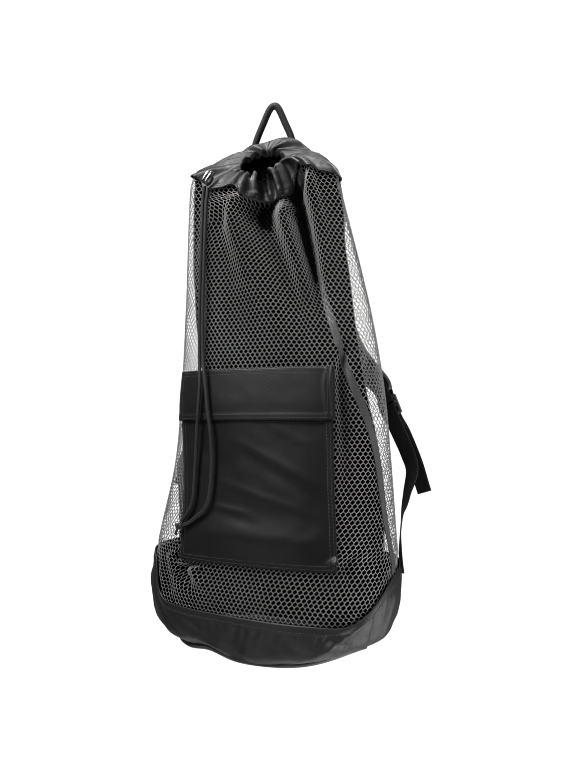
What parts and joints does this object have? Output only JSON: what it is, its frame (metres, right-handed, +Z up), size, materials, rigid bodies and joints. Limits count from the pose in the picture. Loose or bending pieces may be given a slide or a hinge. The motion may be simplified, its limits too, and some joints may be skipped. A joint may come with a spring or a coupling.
{
  "type": "mesh backpack",
  "caption": "Tall drawstring backpack of open net on a nylon base, with a flap pocket, padded straps and a haul loop, hanging by the loop.",
  "frame": {"origin": "inside of the top of the haul loop, where a hook holds the bag", "axes": "+Z up along the hanging bag, the pocket side faces -Y, the straps are on the +Y side, +X is the bag's own right in the picture"},
  "size_m": [0.3478, 0.1943, 0.6498],
  "materials": {
    "nylon": "black woven nylon, slight satin sheen",
    "net": "black knitted net of round holes",
    "webbing": "black ribbed webbing and binding tape",
    "strap_padding": "black padded cloth",
    "cord": "black braided cord",
    "plastic": "black moulded plastic"
  },
  "bodies": {
    "root": {"collar": "nylon", "back_panel": "nylon", "pocket": "nylon", "pocket_flap": "nylon", "base_wall": "nylon", "bottom_panel": "nylon", "net_front": "net", "net_left": "net", "net_right": "net", "haul_loop": "webbing", "base_piping": "webbing", "seam_tape_left": "webbing", "seam_tape_right": "webbing", "strap_tab_left": "webbing", "strap_tab_right": "webbing", "strap_web_left": "webbing", "strap_web_right": "webbing", "strap_pad_left": "strap_padding", "strap_pad_right": "strap_padding", "drawcord_left": "cord", "drawcord_right": "cord", "drawcord_knot": "cord", "cord_lock": "plastic", "ladder_lock_left": "plastic", "ladder_lock_right": "plastic"}
  },
  "joints": []
}
